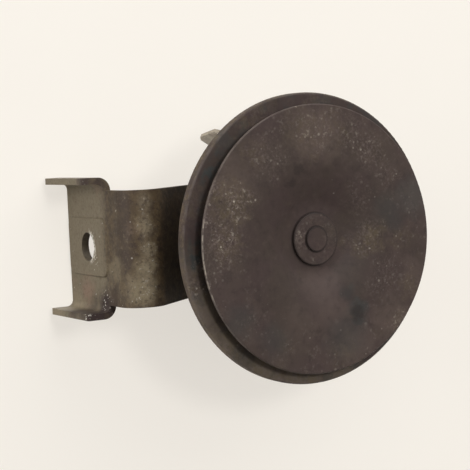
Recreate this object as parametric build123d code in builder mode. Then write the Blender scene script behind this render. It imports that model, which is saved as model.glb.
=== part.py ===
from build123d import *
import os
from math import atan, cos, degrees, radians, sin, tan

os.makedirs("parts", exist_ok=True)

# Disc horn for a road vehicle, on its arched bracket. Millimetres, +Z up.
# Origin: centre of the bracket's bolt hole, on the face that seats against the vehicle.
# The seat faces -X, and the tone disc faces -Y.
# "Depth" is measured back, along +Y, from the front face of the clamp ring.

# ---------------------------------------------------------------- horn: place and outline
AXIS_X = 54.75           # horn axis, from the bracket's seat
RING_AHEAD = 45.35       # clamp ring's front face, in front of the bolt hole
RING_R = 45.2            # clamp ring, outside
RING_SHEET = 0.8
RING_LIP = 6.0           # width of the ring's front lip
RING_BEND = 0.6          # outside radius of the ring's edges
CRIMP_WIDTH = 3.2        # lip that is turned in behind the housing's flange
RING_CLEARANCE = 0.15    # between the ring's wall and what it clamps

GASKET_T = 0.2
GASKET_WIDTH = 4.0
DIAPHRAGM_T = 0.4
BEAD_R = 27.0            # middle of the diaphragm's rolled corrugation
BEAD_HALF_WIDTH = 3.0
BEAD_RISE = 0.9

HOUSING_SHEET = 1.0
HOUSING_BEND = 2.5
FLANGE_WIDTH = 6.05      # clamped flange, outside the housing's wall
SHOULDER_DEPTH = 13.0    # back face of the annular shoulder
SHOULDER_WIDTH = 17.5    # from the housing's wall to the can that holds the coil
HOUSING_DEPTH = 34.5     # back face of the can

# ---------------------------------------------------------------- tone disc and armature
DISC_R = 41.5
DISC_SHEET = 1.2
DISC_STANDOFF = 1.75     # disc's flat centre, in front of the clamp ring
DISC_DISH = 3.4          # rise of the disc's flat border over its centre
DISC_LAND_R = 9.0        # flat centre of the disc
DISC_SLOPE_WIDTH = 18.0  # from the flat centre to the flat border
DISC_BEND_R = 12.0       # bend round the flat centre
DISC_WASHER_R = 8.15
DISC_WASHER_T = 1.1
SHANK_R = 3.0
HEAD_R = 3.84            # riveted end of the shank
HEAD_T = 0.7
SPACER_R = 6.5
BACKING_WASHER_R = 9.0
BACKING_WASHER_T = 1.0
ARMATURE_R = 12.0
ARMATURE_L = 7.2
AIR_GAP = 0.8            # between armature and pole

# ---------------------------------------------------------------- magnet
POLE_R = 8.0
STUD_R = 4.0             # M8
STUD_HOLE_CLEARANCE = 0.25
BOBBIN_WALL = 1.0
BOBBIN_FLANGE_T = 1.2
BOBBIN_CLEARANCE = 0.15
COIL_TOP_GAP = 1.0       # pole stands proud of the retainer
RETAINER_T = 0.8
RETAINER_R = 13.5
WINDING_SHY = 1.0        # winding lies below the flanges' edges

# ---------------------------------------------------------------- contact breaker
BREAKER_INSET = 9.0      # rivets, from the housing's wall, on the side away from the bracket
BREAKER_LENGTH = 10.0
BREAKER_WIDTH = 13.0
BREAKER_RIVET_PITCH = 7.6
RIVET_R = 1.5
RIVET_HEAD_R = 2.5
RIVET_HEAD_T = 1.2
COLLAR_WALL = 0.7        # insulating collar round a rivet
FIT_GAP = 0.1
LEAF_T = 0.35
LEAF_GAP = 0.25          # between armature and leaf
LEAF_TIP_WIDTH = 7.0
LEAF_OVERLAP = 2.0       # leaf's tip reaches under the armature
ARM_T = 1.0
ARM_TIP_REACH = 3.5      # arm's tip, beyond the middle of its contact
ARM_LUG_LENGTH = 7.0
ARM_LUG_REACH = 15.0     # lug's end, from the arm's centre line
CONTACT_R = 2.0
CONTACT_REACH = 8.5      # contacts, from the rivets
FIXED_CONTACT_T = 0.9
MOVING_CONTACT_T = 0.95

SCREW_R = 2.0            # adjusting screw, M4
SCREW_INSET = 13.0       # from the housing's wall, on the breaker's side
SCREW_V = 11.5           # below the horn axis
SCREW_PROUD = 1.6        # screw's end beyond its nut
SCREW_SLOT = 0.9
NUT_FLATS = 7.0
NUT_T = 3.2

RESISTOR_LENGTH = 16.0
RESISTOR_WIDTH = 6.0
RESISTOR_T = 4.5
RESISTOR_INSET = 8.5     # resistor's middle, from the housing's wall
RESISTOR_ANGLE = -125.0

# ---------------------------------------------------------------- terminal
TERMINAL_SLANT = 31.9    # blade's direction, above the horizontal
BLADE_LEAN = 13.8        # blade is bent over its foot
BLADE_WIDTH = 9.5
BLADE_T = 1.2
BLADE_REACH = 12.1       # tip, beyond the rivet
BLADE_OFFSET = 18.15     # blade's outer face at its foot, from the horn axis across the blade
BLADE_SETBACK = 0.6      # blade's near edge, from the foot's level
BLADE_CHAMFER = 1.2
BLADE_HOLE_R = 1.3
BLADE_HOLE_BACK = 4.7    # from the tip
TERMINAL_INSET = 12.0    # rivet, from the housing's wall along the blade
TERMINAL_ACROSS = 12.8
SEAT_LENGTH = 9.0
SEAT_WIDTH = 9.0
SEAT_T = 1.6
SEAT_RIB = 0.7
FOLD_R = 2.0             # outside radius of the fold between foot and blade
TERMINAL_RIVET_R = 1.6
INNER_INSULATOR_T = 1.0
TAG_T = 0.4
TAG_WIDTH = 5.0
TAG_LENGTH = 11.0
TAG_SHIFT = 2.5          # tag reaches towards the coil

# ---------------------------------------------------------------- bracket
SHEET = 2.0
SEAT_RISE = 0.45         # coined pad round the bolt hole
BOLT_R = 4.5             # clearance hole for an M8 bolt
PLATE_BEHIND = 14.7      # plate's free edge, behind the bolt hole
PLATE_AHEAD = 20.9       # flat plate, in front of the bolt hole
PAD_AHEAD = 13.2
PAD_HEIGHT = 18.8
PAD_CORNER = 3.0
PAD_MARGIN = 0.4         # from the plate's free edge to the pad
EAR_GAP = 40.0           # between the ears' inner faces
EAR_REACH = 7.7
EAR_LENGTH = 27.9
EAR_BEND = 2.1           # inside radius
EAR_CORNER = 0.8
ARCH_R = 7.5             # outside radius
LEG_SLOPE = 37.4
KNEE_R = 8.0             # inside radius
FOOT_BEYOND = 14.0       # foot's end, beyond the horn axis
FOOT_CORNER = 9.0

LOCK_WASHER_T = 2.0
LOCK_WASHER_R = 6.6
LOCK_WASHER_SLIT = 1.2
NUT8_FLATS = 13.0
NUT8_T = 6.5
NUT8_TURNED = 0.9        # turned corner
STUD_PROUD = 2.0

# ---------------------------------------------------------------- derived places
RING_Y = -RING_AHEAD
AXIS_POINT = Vector(AXIS_X, RING_Y, 0)
HORN_AXIS = Axis((AXIS_X, 0, 0), (0, 1, 0))
# x is the radius and y the depth
PROFILE = Plane(origin=(AXIS_X, RING_Y, 0), x_dir=(1, 0, 0), z_dir=(0, 0, 1))
# x runs forwards, y up and z out of the seat
SEAT = Plane(origin=(0, 0, 0), x_dir=(0, -1, 0), z_dir=(-1, 0, 0))

FRONT_GASKET_D = RING_SHEET
DIAPHRAGM_D = FRONT_GASKET_D + GASKET_T
REAR_GASKET_D = DIAPHRAGM_D + DIAPHRAGM_T
FLANGE_D = REAR_GASKET_D + GASKET_T
FLANGE_BACK_D = FLANGE_D + HOUSING_SHEET
RING_DEPTH = FLANGE_BACK_D + RING_SHEET
CLAMPED_R = RING_R - RING_SHEET - RING_CLEARANCE
RING_MOUTH_R = RING_R - RING_LIP
WALL_R = CLAMPED_R - FLANGE_WIDTH
CAN_R = WALL_R - SHOULDER_WIDTH

DISC_FRONT_D = -DISC_STANDOFF
DISC_BACK_D = DISC_FRONT_D + DISC_SHEET
# steepest slope of the disc, in degrees, and the wide bend from there to its flat border
DISC_SLOPE = 2 * degrees(atan(DISC_DISH / DISC_SLOPE_WIDTH))
DISC_OUTER_BEND_R = DISC_SLOPE_WIDTH / sin(radians(DISC_SLOPE)) - DISC_BEND_R
WASHER_FRONT_D = DISC_FRONT_D - DISC_WASHER_T
BACKING_D = DIAPHRAGM_D + DIAPHRAGM_T
ARMATURE_D = BACKING_D + BACKING_WASHER_T
ARMATURE_BACK_D = ARMATURE_D + ARMATURE_L

POLE_D = ARMATURE_BACK_D + AIR_GAP
RETAINER_D = POLE_D + COIL_TOP_GAP
BOBBIN_D = RETAINER_D + RETAINER_T
CAN_FLOOR_D = HOUSING_DEPTH - HOUSING_SHEET
BOBBIN_BORE_R = POLE_R + BOBBIN_CLEARANCE
BOBBIN_TUBE_R = BOBBIN_BORE_R + BOBBIN_WALL
BOBBIN_FLANGE_R = CAN_R - HOUSING_BEND - 2 * FIT_GAP
STUD_HOLE_R = STUD_R + STUD_HOLE_CLEARANCE

SHOULDER_FRONT_D = SHOULDER_DEPTH - HOUSING_SHEET
LEAF_D = ARMATURE_BACK_D + LEAF_GAP
ARM_D = LEAF_D - MOVING_CONTACT_T - FIXED_CONTACT_T - ARM_T
COLLAR_R = RIVET_R + COLLAR_WALL
BREAKER_U = WALL_R - BREAKER_INSET
BREAKER_BACK_U = BREAKER_U + BREAKER_LENGTH / 2
CONTACT_U = BREAKER_U - CONTACT_REACH
ARM_TIP_U = CONTACT_U - ARM_TIP_REACH
SCREW_U = WALL_R - SCREW_INSET
RESISTOR_R = WALL_R - RESISTOR_INSET

SLANT = radians(TERMINAL_SLANT)
LEAN = radians(BLADE_LEAN)
ALONG = Vector(-cos(SLANT), 0, sin(SLANT))
ACROSS = Vector(sin(SLANT), 0, cos(SLANT))
BLADE_DOWN = Vector(0, 1, 0) * cos(LEAN) - ACROSS * sin(LEAN)
FOOT_D = SHOULDER_DEPTH + SEAT_T
TERMINAL_ALONG = WALL_R - TERMINAL_INSET
BLADE_TIP = TERMINAL_ALONG + BLADE_REACH
FOOT_LENGTH = SEAT_LENGTH - 2 * SEAT_RIB
FOOT_END = TERMINAL_ALONG + FOOT_LENGTH / 2
# from the corner where foot and blade would meet to where the fold begins
FOLD_RUN = FOLD_R * tan(radians(90 + BLADE_LEAN) / 2)
TAG_D = SHOULDER_FRONT_D - INNER_INSULATOR_T - TAG_T

STRAP_W = EAR_GAP - 2 * EAR_BEND
PLATE_X = SEAT_RISE
FOOT_Y = RING_Y + HOUSING_DEPTH
ARCH_END_Y = -PLATE_AHEAD - ARCH_R * cos(radians(LEG_SLOPE))
KNEE_RISE = KNEE_R * (1 - cos(radians(LEG_SLOPE)))
LEG_LENGTH = (FOOT_Y - KNEE_RISE - ARCH_END_Y) / sin(radians(LEG_SLOPE))
FOOT_BACK_D = HOUSING_DEPTH + SHEET
LOCK_WASHER_BACK_D = FOOT_BACK_D + LOCK_WASHER_T
NUT8_BACK_D = LOCK_WASHER_BACK_D + NUT8_T
STUD_END_D = NUT8_BACK_D + STUD_PROUD
NUT8_CORNER_R = NUT8_FLATS / 2 / cos(radians(30))


def at_depth(depth):
    """Plane across the horn axis. Its x runs towards the bracket, its y up and its z back."""
    return Plane(origin=(AXIS_X, RING_Y + depth, 0), x_dir=(-1, 0, 0), z_dir=(0, 1, 0))


def terminal_plane(depth):
    """Plane across the horn axis, with x along the terminal blade and z back."""
    return Plane(origin=(AXIS_X, RING_Y + depth, 0), x_dir=ALONG, z_dir=(0, 1, 0))


def finish(piece, name):
    """Name a piece and write its file."""
    piece.part.label = name
    export_step(piece.part, f"parts/{name}.step")


# ---------------------------------------------------------------- bracket
with BuildPart() as bracket:
    # side view of the strap: plate, arch, leg, knee and foot, along its outer face
    with BuildSketch(Plane.XY.offset(-STRAP_W / 2)):
        with BuildLine():
            plate = Line((PLATE_X, PLATE_BEHIND), (PLATE_X, -PLATE_AHEAD))
            arch = JernArc(plate @ 1, plate % 1, ARCH_R, 90 + LEG_SLOPE)
            leg = PolarLine(arch @ 1, LEG_LENGTH, direction=arch % 1)
            knee = JernArc(leg @ 1, leg % 1, KNEE_R, -LEG_SLOPE)
            Line(knee @ 1, (AXIS_X + FOOT_BEYOND, FOOT_Y))
            offset(amount=SHEET, side=Side.LEFT)
        make_face()
    extrude(amount=STRAP_W)
    foot_end = bracket.edges().filter_by(Axis.Y).group_by(Axis.X)[-1]
    fillet(foot_end, FOOT_CORNER)
    # the ears are folded outwards from the plate's two edges
    with BuildSketch(Plane(origin=(0, PLATE_BEHIND, 0), x_dir=(1, 0, 0), z_dir=(0, -1, 0))):
        with BuildLine():
            root = Line((PLATE_X, STRAP_W / 2 - EAR_BEND), (PLATE_X, STRAP_W / 2))
            fold = JernArc(root @ 1, root % 1, EAR_BEND, 90)
            Line(fold @ 1, (PLATE_X - EAR_REACH, EAR_GAP / 2))
            offset(amount=SHEET, side=Side.RIGHT)
        make_face()
        mirror(about=Plane.XZ)
    extrude(amount=EAR_LENGTH)
    ear_corners = bracket.edges().filter_by(Axis.Z).group_by(Axis.X)[0]
    fillet(ear_corners, EAR_CORNER)
    # coined pad round the bolt hole, with sloping sides
    with BuildSketch(SEAT.offset(-PLATE_X)):
        with Locations(((PAD_AHEAD - PLATE_BEHIND + PAD_MARGIN) / 2, 0)):
            RectangleRounded(PAD_AHEAD + PLATE_BEHIND - PAD_MARGIN, PAD_HEIGHT, PAD_CORNER)
    extrude(amount=SEAT_RISE, taper=45)
    with Locations(SEAT):
        Hole(BOLT_R, depth=PLATE_X + SHEET)
    with Locations(at_depth(FOOT_BACK_D)):
        Hole(STUD_HOLE_R, depth=SHEET)
finish(bracket, "bracket")


# ---------------------------------------------------------------- clamped edge
# The ring's front lip and its turned-in rear lip hold gaskets, diaphragm and flange.
with BuildPart() as clamp_ring:
    with BuildSketch(PROFILE) as ring_section:
        with BuildLine():
            Polyline(
                (RING_MOUTH_R, 0),
                (RING_R, 0),
                (RING_R, RING_DEPTH),
                (RING_R - CRIMP_WIDTH, RING_DEPTH),
                (RING_R - CRIMP_WIDTH, FLANGE_BACK_D),
                (RING_R - RING_SHEET, FLANGE_BACK_D),
                (RING_R - RING_SHEET, RING_SHEET),
                (RING_MOUTH_R, RING_SHEET),
                close=True,
            )
        make_face()
        fillet(ring_section.vertices().group_by(Axis.X)[-1], RING_BEND)
    revolve(axis=HORN_AXIS)
finish(clamp_ring, "clamp_ring")

for gasket_name, gasket_depth in (("front_gasket", FRONT_GASKET_D), ("rear_gasket", REAR_GASKET_D)):
    with BuildPart() as gasket:
        with BuildSketch(at_depth(gasket_depth)):
            Circle(CLAMPED_R)
            Circle(CLAMPED_R - GASKET_WIDTH, mode=Mode.SUBTRACT)
        extrude(amount=GASKET_T)
    finish(gasket, gasket_name)

with BuildPart() as diaphragm:
    with BuildSketch(PROFILE):
        with BuildLine():
            inner = Line((SHANK_R, DIAPHRAGM_D), (BEAD_R - BEAD_HALF_WIDTH, DIAPHRAGM_D))
            bead = ThreePointArc(
                inner @ 1,
                (BEAD_R, DIAPHRAGM_D + BEAD_RISE),
                (BEAD_R + BEAD_HALF_WIDTH, DIAPHRAGM_D),
            )
            Line(bead @ 1, (CLAMPED_R, DIAPHRAGM_D))
            offset(amount=DIAPHRAGM_T, side=Side.LEFT)
        make_face()
    revolve(axis=HORN_AXIS)
finish(diaphragm, "diaphragm")

with BuildPart() as rear_housing:
    with BuildSketch(PROFILE):
        with BuildLine():
            FilletPolyline(
                (CLAMPED_R, FLANGE_BACK_D),
                (WALL_R, FLANGE_BACK_D),
                (WALL_R, SHOULDER_DEPTH),
                (CAN_R, SHOULDER_DEPTH),
                (CAN_R, HOUSING_DEPTH),
                (STUD_HOLE_R, HOUSING_DEPTH),
                radius=HOUSING_BEND,
            )
            offset(amount=HOUSING_SHEET, side=Side.LEFT)
        make_face()
    revolve(axis=HORN_AXIS)
    with BuildSketch(at_depth(SHOULDER_FRONT_D)):
        with Locations((-BREAKER_U, BREAKER_RIVET_PITCH / 2), (-BREAKER_U, -BREAKER_RIVET_PITCH / 2)):
            Circle(RIVET_R)
        with Locations((-SCREW_U, -SCREW_V)):
            Circle(SCREW_R + FIT_GAP)
    extrude(amount=HOUSING_SHEET, mode=Mode.SUBTRACT)
    with BuildSketch(terminal_plane(SHOULDER_FRONT_D)):
        with Locations((TERMINAL_ALONG, TERMINAL_ACROSS)):
            Circle(TERMINAL_RIVET_R + COLLAR_WALL)
    extrude(amount=HOUSING_SHEET, mode=Mode.SUBTRACT)
finish(rear_housing, "rear_housing")


# ---------------------------------------------------------------- tone disc and armature
with BuildPart() as tone_disc:
    with BuildSketch(PROFILE):
        with BuildLine():
            land = Line((SHANK_R, DISC_FRONT_D), (DISC_LAND_R, DISC_FRONT_D))
            bend = JernArc(land @ 1, land % 1, DISC_BEND_R, -DISC_SLOPE)
            outer_bend = JernArc(bend @ 1, bend % 1, DISC_OUTER_BEND_R, DISC_SLOPE)
            Line(outer_bend @ 1, (DISC_R, DISC_FRONT_D - DISC_DISH))
            offset(amount=DISC_SHEET, side=Side.LEFT)
        make_face()
    revolve(axis=HORN_AXIS)
    rim_edges = tone_disc.edges().filter_by(GeomType.CIRCLE).sort_by(SortBy.LENGTH)[-2:]
    fillet(rim_edges, DISC_SHEET / 3)
finish(tone_disc, "tone_disc")

with BuildPart() as tone_disc_washer:
    with BuildSketch(at_depth(DISC_FRONT_D)):
        Circle(DISC_WASHER_R)
        Circle(SHANK_R, mode=Mode.SUBTRACT)
    extrude(amount=-DISC_WASHER_T)
    outer_rim = tone_disc_washer.edges().group_by(Axis.Y)[0].sort_by(SortBy.LENGTH)[-1]
    fillet(outer_rim, DISC_WASHER_T / 3)
finish(tone_disc_washer, "tone_disc_washer")

with BuildPart() as disc_spacer:
    with BuildSketch(at_depth(DISC_BACK_D)):
        Circle(SPACER_R)
        Circle(SHANK_R, mode=Mode.SUBTRACT)
    extrude(amount=DIAPHRAGM_D - DISC_BACK_D)
finish(disc_spacer, "disc_spacer")

with BuildPart() as diaphragm_washer:
    with BuildSketch(at_depth(BACKING_D)):
        Circle(BACKING_WASHER_R)
        Circle(SHANK_R, mode=Mode.SUBTRACT)
    extrude(amount=BACKING_WASHER_T)
finish(diaphragm_washer, "diaphragm_washer")

# A soft iron slug. Its shank passes through the stack and is riveted over the washer.
with BuildPart() as armature:
    with BuildSketch(at_depth(ARMATURE_D)):
        Circle(ARMATURE_R)
    extrude(amount=ARMATURE_L)
    chamfer(armature.edges(), FIT_GAP * 4)
    with BuildSketch(at_depth(WASHER_FRONT_D)):
        Circle(SHANK_R)
    extrude(amount=ARMATURE_D - WASHER_FRONT_D)
    with BuildSketch(at_depth(WASHER_FRONT_D)):
        Circle(HEAD_R)
    extrude(amount=-HEAD_T)
    head_rim = armature.edges().group_by(Axis.Y)[0]
    fillet(head_rim, HEAD_T / 3)
finish(armature, "armature")


# ---------------------------------------------------------------- magnet
with BuildPart() as magnet_core:
    with BuildSketch(at_depth(POLE_D)):
        Circle(POLE_R)
    extrude(amount=CAN_FLOOR_D - POLE_D)
    with BuildSketch(at_depth(CAN_FLOOR_D)):
        Circle(STUD_R)
    extrude(amount=STUD_END_D - CAN_FLOOR_D)
    chamfer(magnet_core.edges().group_by(Axis.Y)[-1], STUD_R / 6)
finish(magnet_core, "magnet_core")

with BuildPart() as coil_bobbin:
    with BuildSketch(PROFILE):
        with BuildLine():
            Polyline(
                (BOBBIN_BORE_R, BOBBIN_D),
                (BOBBIN_FLANGE_R, BOBBIN_D),
                (BOBBIN_FLANGE_R, BOBBIN_D + BOBBIN_FLANGE_T),
                (BOBBIN_TUBE_R, BOBBIN_D + BOBBIN_FLANGE_T),
                (BOBBIN_TUBE_R, CAN_FLOOR_D - BOBBIN_FLANGE_T),
                (BOBBIN_FLANGE_R, CAN_FLOOR_D - BOBBIN_FLANGE_T),
                (BOBBIN_FLANGE_R, CAN_FLOOR_D),
                (BOBBIN_BORE_R, CAN_FLOOR_D),
                close=True,
            )
        make_face()
    revolve(axis=HORN_AXIS)
finish(coil_bobbin, "coil_bobbin")

with BuildPart() as coil_winding:
    with BuildSketch(at_depth(BOBBIN_D + BOBBIN_FLANGE_T)):
        Circle(BOBBIN_FLANGE_R - WINDING_SHY)
        Circle(BOBBIN_TUBE_R, mode=Mode.SUBTRACT)
    extrude(amount=CAN_FLOOR_D - BOBBIN_D - 2 * BOBBIN_FLANGE_T)
finish(coil_winding, "coil_winding")

with BuildPart() as coil_retainer:
    with BuildSketch(at_depth(RETAINER_D)):
        Circle(RETAINER_R)
        Circle(POLE_R, mode=Mode.SUBTRACT)
    extrude(amount=RETAINER_T)
finish(coil_retainer, "coil_retainer")


# ---------------------------------------------------------------- contact breaker
# The stack, from the shoulder forwards: base insulator, leaf, spacer, fixed arm.
RIVET_PLACES = [(-BREAKER_U, BREAKER_RIVET_PITCH / 2), (-BREAKER_U, -BREAKER_RIVET_PITCH / 2)]

with BuildPart() as breaker_base_insulator:
    with BuildSketch(at_depth(SHOULDER_FRONT_D)):
        with Locations((-BREAKER_U, 0)):
            Rectangle(BREAKER_LENGTH, BREAKER_WIDTH)
        with Locations(*RIVET_PLACES):
            Circle(RIVET_R, mode=Mode.SUBTRACT)
    extrude(amount=LEAF_D + LEAF_T - SHOULDER_FRONT_D)
    # collars keep the rivets off the leaf
    with BuildSketch(at_depth(LEAF_D)):
        with Locations(*RIVET_PLACES):
            Circle(COLLAR_R)
            Circle(RIVET_R, mode=Mode.SUBTRACT)
    extrude(amount=LEAF_T)
finish(breaker_base_insulator, "breaker_base_insulator")

with BuildPart() as contact_spring:
    with BuildSketch(at_depth(LEAF_D)):
        with BuildLine():
            Polyline(
                (-BREAKER_BACK_U, BREAKER_WIDTH / 2),
                (-BREAKER_BACK_U + BREAKER_LENGTH, BREAKER_WIDTH / 2),
                (-ARMATURE_R + LEAF_OVERLAP, LEAF_TIP_WIDTH / 2),
                (-ARMATURE_R + LEAF_OVERLAP, -LEAF_TIP_WIDTH / 2),
                (-BREAKER_BACK_U + BREAKER_LENGTH, -BREAKER_WIDTH / 2),
                (-BREAKER_BACK_U, -BREAKER_WIDTH / 2),
                close=True,
            )
        make_face()
        with Locations(*RIVET_PLACES):
            Circle(COLLAR_R, mode=Mode.SUBTRACT)
    extrude(amount=LEAF_T)
finish(contact_spring, "contact_spring")

with BuildPart() as breaker_spacer_insulator:
    with BuildSketch(at_depth(ARM_D + ARM_T)):
        with Locations((-BREAKER_U, 0)):
            Rectangle(BREAKER_LENGTH, BREAKER_WIDTH)
        with Locations(*RIVET_PLACES):
            Circle(RIVET_R, mode=Mode.SUBTRACT)
    extrude(amount=LEAF_D - ARM_D - ARM_T)
finish(breaker_spacer_insulator, "breaker_spacer_insulator")

with BuildPart() as fixed_contact_arm:
    with BuildSketch(at_depth(ARM_D)):
        with BuildLine():
            Polyline(
                (-BREAKER_BACK_U, BREAKER_WIDTH / 2),
                (-BREAKER_BACK_U + BREAKER_LENGTH, BREAKER_WIDTH / 2),
                (-ARM_TIP_U, CONTACT_R + ARM_T),
                (-ARM_TIP_U, -CONTACT_R - ARM_T),
                (-SCREW_U + ARM_LUG_LENGTH / 2, -CONTACT_R - ARM_T),
                (-SCREW_U + ARM_LUG_LENGTH / 2, -ARM_LUG_REACH),
                (-SCREW_U - ARM_LUG_LENGTH / 2, -ARM_LUG_REACH),
                (-SCREW_U - ARM_LUG_LENGTH / 2, -BREAKER_WIDTH / 2),
                (-BREAKER_BACK_U, -BREAKER_WIDTH / 2),
                close=True,
            )
        make_face()
        with Locations(*RIVET_PLACES):
            Circle(RIVET_R, mode=Mode.SUBTRACT)
    extrude(amount=ARM_T)
finish(fixed_contact_arm, "fixed_contact_arm")

with BuildPart() as fixed_contact:
    with BuildSketch(at_depth(ARM_D + ARM_T)):
        with Locations((-CONTACT_U, 0)):
            Circle(CONTACT_R)
    extrude(amount=FIXED_CONTACT_T)
finish(fixed_contact, "fixed_contact")

with BuildPart() as moving_contact:
    with BuildSketch(at_depth(LEAF_D)):
        with Locations((-CONTACT_U, 0)):
            Circle(CONTACT_R)
    extrude(amount=-MOVING_CONTACT_T)
finish(moving_contact, "moving_contact")

with BuildPart() as breaker_rivets:
    with BuildSketch(at_depth(ARM_D)):
        with Locations(*RIVET_PLACES):
            Circle(RIVET_R)
    extrude(amount=SHOULDER_DEPTH - ARM_D)
    with BuildSketch(at_depth(ARM_D - RIVET_HEAD_T)):
        with Locations(*RIVET_PLACES):
            Circle(RIVET_HEAD_R)
    extrude(amount=RIVET_HEAD_T)
    with BuildSketch(at_depth(SHOULDER_DEPTH)):
        with Locations(*RIVET_PLACES):
            Circle(RIVET_HEAD_R)
    extrude(amount=RIVET_HEAD_T)
    for end in (0, -1):
        fillet(breaker_rivets.edges().group_by(Axis.Y)[end], RIVET_HEAD_T / 2)
finish(breaker_rivets, "breaker_rivets")

with BuildPart() as adjusting_nut:
    with BuildSketch(at_depth(SHOULDER_DEPTH)):
        with Locations((-SCREW_U, -SCREW_V)):
            RegularPolygon(NUT_FLATS / 2, 6, major_radius=False)
            Circle(SCREW_R, mode=Mode.SUBTRACT)
    extrude(amount=NUT_T)
finish(adjusting_nut, "adjusting_nut")

with BuildPart() as adjusting_screw:
    with BuildSketch(at_depth(ARM_D + ARM_T)):
        with Locations((-SCREW_U, -SCREW_V)):
            Circle(SCREW_R)
    extrude(amount=SHOULDER_DEPTH + NUT_T + SCREW_PROUD - ARM_D - ARM_T)
    with BuildSketch(at_depth(SHOULDER_DEPTH + NUT_T + SCREW_PROUD)):
        with Locations((-SCREW_U, -SCREW_V)):
            Rectangle(3 * SCREW_R, SCREW_SLOT, rotation=45)
    extrude(amount=-SCREW_SLOT, mode=Mode.SUBTRACT)
finish(adjusting_screw, "adjusting_screw")

# The resistor lies flat on the shoulder, across its radius.
with BuildPart() as suppression_resistor:
    with BuildSketch(at_depth(SHOULDER_FRONT_D)):
        with PolarLocations(RESISTOR_R, 1, start_angle=RESISTOR_ANGLE):
            RectangleRounded(RESISTOR_WIDTH, RESISTOR_LENGTH, RESISTOR_T / 6)
    extrude(amount=-RESISTOR_T)
finish(suppression_resistor, "suppression_resistor")


# ---------------------------------------------------------------- terminal
with BuildPart() as terminal_insulator:
    with BuildSketch(terminal_plane(SHOULDER_DEPTH)):
        with Locations((TERMINAL_ALONG, TERMINAL_ACROSS)):
            Rectangle(SEAT_LENGTH, SEAT_WIDTH)
            Circle(TERMINAL_RIVET_R, mode=Mode.SUBTRACT)
    extrude(amount=SEAT_T)
    # two ribs key the blade's foot, so that it can't turn on its rivet
    with BuildSketch(terminal_plane(FOOT_D)):
        with Locations((TERMINAL_ALONG, TERMINAL_ACROSS)):
            with GridLocations(SEAT_LENGTH - SEAT_RIB, 0, 2, 1):
                Rectangle(SEAT_RIB, SEAT_WIDTH / 2)
    extrude(amount=BLADE_T)
    # collar through the housing
    with BuildSketch(terminal_plane(SHOULDER_FRONT_D)):
        with Locations((TERMINAL_ALONG, TERMINAL_ACROSS)):
            Circle(TERMINAL_RIVET_R + COLLAR_WALL)
            Circle(TERMINAL_RIVET_R, mode=Mode.SUBTRACT)
    extrude(amount=HOUSING_SHEET)
finish(terminal_insulator, "terminal_insulator")

# The foot lies on its seat. The blade leans over it from a fold along its outer edge.
with BuildPart() as terminal_blade:
    foot_start = AXIS_POINT + ALONG * (TERMINAL_ALONG - FOOT_LENGTH / 2)
    with BuildSketch(Plane(origin=foot_start, x_dir=ACROSS, z_dir=ALONG)):
        with BuildLine():
            foot = Line((TERMINAL_ACROSS - SEAT_WIDTH / 3, FOOT_D), (BLADE_OFFSET - FOLD_RUN, FOOT_D))
            fold = JernArc(foot @ 1, foot % 1, FOLD_R, 90 + BLADE_LEAN)
            PolarLine(fold @ 1, BLADE_SETBACK + BLADE_WIDTH - FOLD_RUN, direction=fold % 1)
            offset(amount=BLADE_T, side=Side.LEFT)
        make_face()
    extrude(amount=FOOT_LENGTH)
    blade_root = AXIS_POINT + Vector(0, FOOT_D, 0) + ACROSS * BLADE_OFFSET
    with BuildSketch(Plane(origin=blade_root, x_dir=ALONG, z_dir=ALONG.cross(BLADE_DOWN))) as blade:
        with Locations(((BLADE_TIP + FOOT_END) / 2, BLADE_SETBACK + BLADE_WIDTH / 2)):
            Rectangle(BLADE_TIP - FOOT_END, BLADE_WIDTH)
        chamfer(blade.vertices().group_by(Axis.X)[-1], BLADE_CHAMFER)
        with Locations((BLADE_TIP - BLADE_HOLE_BACK, BLADE_SETBACK + BLADE_WIDTH / 2)):
            Circle(BLADE_HOLE_R, mode=Mode.SUBTRACT)
    extrude(amount=BLADE_T)
    with BuildSketch(terminal_plane(FOOT_D)):
        with Locations((TERMINAL_ALONG, TERMINAL_ACROSS)):
            Circle(TERMINAL_RIVET_R)
    extrude(amount=BLADE_T, mode=Mode.SUBTRACT)
finish(terminal_blade, "terminal_blade")

with BuildPart() as terminal_inner_insulator:
    with BuildSketch(terminal_plane(SHOULDER_FRONT_D)):
        with Locations((TERMINAL_ALONG, TERMINAL_ACROSS)):
            Rectangle(SEAT_LENGTH, SEAT_WIDTH)
            Circle(TERMINAL_RIVET_R, mode=Mode.SUBTRACT)
    extrude(amount=-INNER_INSULATOR_T)
finish(terminal_inner_insulator, "terminal_inner_insulator")

with BuildPart() as coil_lead_tag:
    with BuildSketch(terminal_plane(TAG_D)):
        with Locations((TERMINAL_ALONG - TAG_SHIFT, TERMINAL_ACROSS)):
            SlotOverall(TAG_LENGTH, TAG_WIDTH)
        with Locations((TERMINAL_ALONG, TERMINAL_ACROSS)):
            Circle(TERMINAL_RIVET_R, mode=Mode.SUBTRACT)
    extrude(amount=TAG_T)
finish(coil_lead_tag, "coil_lead_tag")

with BuildPart() as terminal_rivet:
    for start, end, radius in (
        (TAG_D - RIVET_HEAD_T, TAG_D, RIVET_HEAD_R),
        (TAG_D, FOOT_D + BLADE_T, TERMINAL_RIVET_R),
        (FOOT_D + BLADE_T, FOOT_D + BLADE_T + RIVET_HEAD_T, RIVET_HEAD_R),
    ):
        with BuildSketch(terminal_plane(start)):
            with Locations((TERMINAL_ALONG, TERMINAL_ACROSS)):
                Circle(radius)
        extrude(amount=end - start)
    for end in (0, -1):
        fillet(terminal_rivet.edges().group_by(Axis.Y)[end], RIVET_HEAD_T / 2)
finish(terminal_rivet, "terminal_rivet")


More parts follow.
